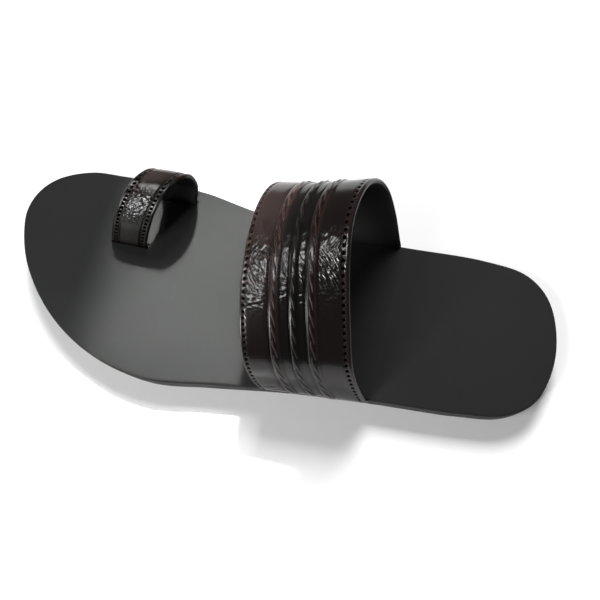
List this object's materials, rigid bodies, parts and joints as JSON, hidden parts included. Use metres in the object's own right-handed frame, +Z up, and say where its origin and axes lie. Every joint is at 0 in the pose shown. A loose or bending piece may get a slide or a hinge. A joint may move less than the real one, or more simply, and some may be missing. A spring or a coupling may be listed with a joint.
{
  "type": "slipper",
  "caption": "Open men's slipper for the left foot: flat layered sole, wide arched instep strap with raised strips, and an arched loop round the big toe.",
  "frame": {"origin": "centre of the slipper's box, on the floor that it stands on", "axes": "+Y from heel to toe along the sole, +X to the inner (big toe) side of the left foot, +Z up"},
  "size_m": [0.1078, 0.286, 0.0764],
  "materials": {
    "outsole": "matt black moulded sole",
    "insole_cover": "smooth satin black synthetic leather over the footbed board",
    "strap_leather": "glossy creased dark brown leather, black lining"
  },
  "bodies": {
    "root": {"outsole": "outsole", "insole": "insole_cover", "vamp_strap": "strap_leather", "toe_loop": "strap_leather"}
  },
  "joints": []
}
